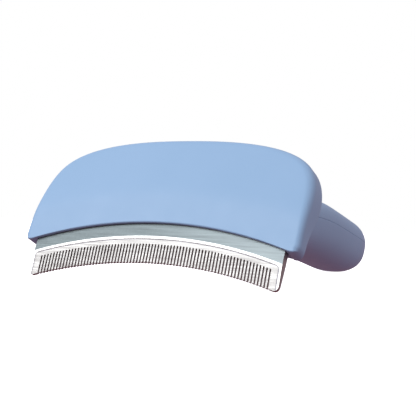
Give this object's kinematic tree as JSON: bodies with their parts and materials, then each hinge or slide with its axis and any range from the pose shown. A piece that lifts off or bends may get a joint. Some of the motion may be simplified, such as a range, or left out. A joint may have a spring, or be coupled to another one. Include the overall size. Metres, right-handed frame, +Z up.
{
  "type": "deshedding tool",
  "caption": "Pet deshedding tool with a concave fine steel comb in a wide rounded head, an arched handle and a sprung push button that slides a hair ejector bar.",
  "frame": {"origin": "centre of the bounding box in X and Y, on the level surface that the tool stands on", "axes": "+Z up; X across the comb and head; the comb's front faces -Y and the handle runs back along +Y, with the tool standing on the comb's two end lands and the handle's tail"},
  "size_m": [0.1112, 0.1918, 0.0508],
  "materials": {
    "comb_steel": "ground and finely brushed stainless steel",
    "bar_steel": "rolled stainless strip",
    "pin_steel": "drawn steel wire",
    "screw_steel": "plated steel",
    "blue_plastic": "satin moulded, pale blue",
    "grey_plastic": "plain moulded, grey",
    "button_plastic": "smooth moulded, grey"
  },
  "bodies": {
    "housing": {"comb_blade": "comb_steel", "blade_holder": "grey_plastic", "blade_screw_1": "screw_steel", "blade_screw_2": "screw_steel", "blade_screw_3": "screw_steel", "head_cover": "blue_plastic", "handle_upper_shell": "blue_plastic", "handle_lower_shell": "blue_plastic", "cover_screw_1": "screw_steel", "cover_screw_2": "screw_steel", "handle_screw_1": "screw_steel", "handle_screw_2": "screw_steel", "handle_screw_3": "screw_steel", "guide_pin_1": "pin_steel", "guide_pin_2": "pin_steel", "return_spring_1": "pin_steel", "return_spring_2": "pin_steel"},
    "ejector": {"ejector_bar": "bar_steel", "ejector_carriage": "grey_plastic", "ejector_screw_1": "screw_steel", "ejector_screw_2": "screw_steel", "push_button": "button_plastic", "button_screw": "screw_steel"}
  },
  "joints": [
    {"name": "ejector_press", "type": "slide", "parent": "housing", "child": "ejector", "axis": [0, -0.4106, -0.9118], "range_m": [0, 0.0078], "stiffness_N_per_m": 600, "springref_m": -0.004, "deforming": ["return_spring_1", "return_spring_2"]}
  ]
}
